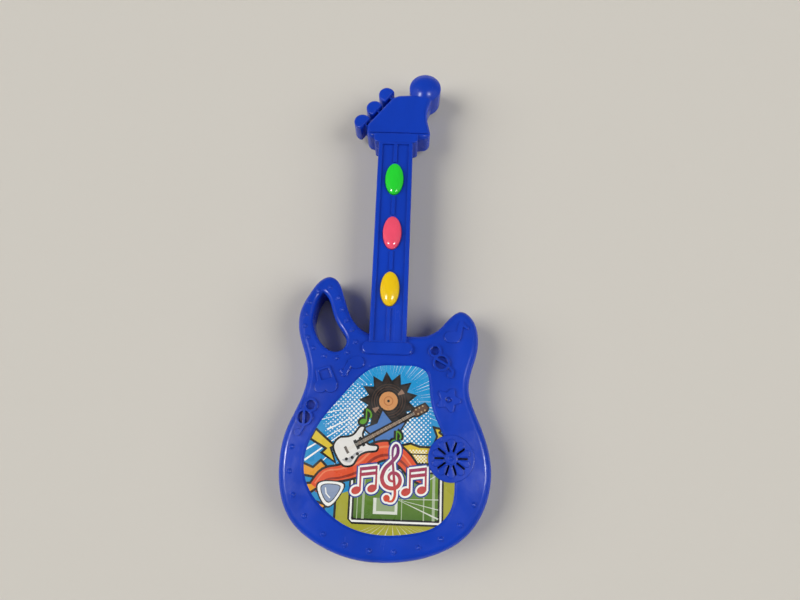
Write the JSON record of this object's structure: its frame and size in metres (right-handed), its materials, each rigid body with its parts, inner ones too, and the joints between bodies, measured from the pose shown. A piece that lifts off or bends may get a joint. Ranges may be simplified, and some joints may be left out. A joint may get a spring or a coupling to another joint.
{
  "type": "toy electric guitar",
  "caption": "Guitar-shaped electronic toy: moulded two-part case with a finger hole in one horn, domed push buttons in the neck, a printed front label and a slotted speaker grille.",
  "frame": {"origin": "on the flat back face, on the neck's centre line, 80 mm above the body's tail end", "axes": "+Y along the neck towards the head, +Z out of the front face, +X across to the speaker's side"},
  "size_m": [0.1251, 0.32, 0.0263],
  "materials": {
    "blue_case": "glossy moulded plastic",
    "green_button": "glossy moulded plastic",
    "pink_button": "glossy moulded plastic",
    "yellow_button": "glossy moulded plastic",
    "printed_label": "printed and laminated",
    "screw_steel": "zinc plated",
    "circuit_board": "phenolic board with copper side down",
    "black_epoxy": "cast epoxy",
    "capacitor_sleeve": "shrink sleeve",
    "resistor_body": "lacquered",
    "speaker_steel": "plated pressed steel",
    "speaker_paper": "pressed paper cone",
    "cell_steel": "nickel plated",
    "contact_metal": "plated spring metal",
    "wire_neck": "insulated lead",
    "wire_speaker": "insulated lead",
    "wire_battery": "insulated lead",
    "silicone": "translucent silicone",
    "conductive_rubber": "carbon filled rubber"
  },
  "bodies": {
    "root": {"front_shell": "blue_case", "back_shell": "blue_case", "case_screws": "screw_steel", "picture_label": "printed_label", "neck_board": "circuit_board", "neck_board_screws": "screw_steel", "main_board": "circuit_board", "main_board_screws": "screw_steel", "sound_chip": "black_epoxy", "capacitor": "capacitor_sleeve", "resistor": "resistor_body", "speaker_basket": "speaker_steel", "speaker_cone": "speaker_paper", "speaker_magnet": "speaker_steel", "speaker_screws": "screw_steel", "battery_cells": "cell_steel", "battery_spring": "contact_metal", "battery_plate": "contact_metal", "neck_wires": "wire_neck", "speaker_wires": "wire_speaker", "battery_wires": "wire_battery", "dome_green": "silicone", "dome_pink": "silicone", "dome_yellow": "silicone"},
    "battery_lid": {"battery_cover": "blue_case", "battery_cover_screws": "screw_steel"},
    "key_green": {"button_green": "green_button", "pill_green": "conductive_rubber"},
    "key_pink": {"button_pink": "pink_button", "pill_pink": "conductive_rubber"},
    "key_yellow": {"button_yellow": "yellow_button", "pill_yellow": "conductive_rubber"}
  },
  "joints": [
    {"name": "button_green_press", "type": "slide", "parent": "root", "child": "key_green", "axis": [0, 0, -1], "range_m": [0, 0.0015], "stiffness_N_per_m": 400, "springref_m": -0.0005, "deforming": ["dome_green"]},
    {"name": "button_pink_press", "type": "slide", "parent": "root", "child": "key_pink", "axis": [0, 0, -1], "range_m": [0, 0.0015], "stiffness_N_per_m": 400, "springref_m": -0.0005, "deforming": ["dome_pink"]},
    {"name": "button_yellow_press", "type": "slide", "parent": "root", "child": "key_yellow", "axis": [0, 0, -1], "range_m": [0, 0.0015], "stiffness_N_per_m": 400, "springref_m": -0.0005, "deforming": ["dome_yellow"]},
    {"name": "battery_cover_lift", "type": "slide", "parent": "root", "child": "battery_lid", "axis": [0, 0, -1], "range_m": [0, 0.02]}
  ]
}
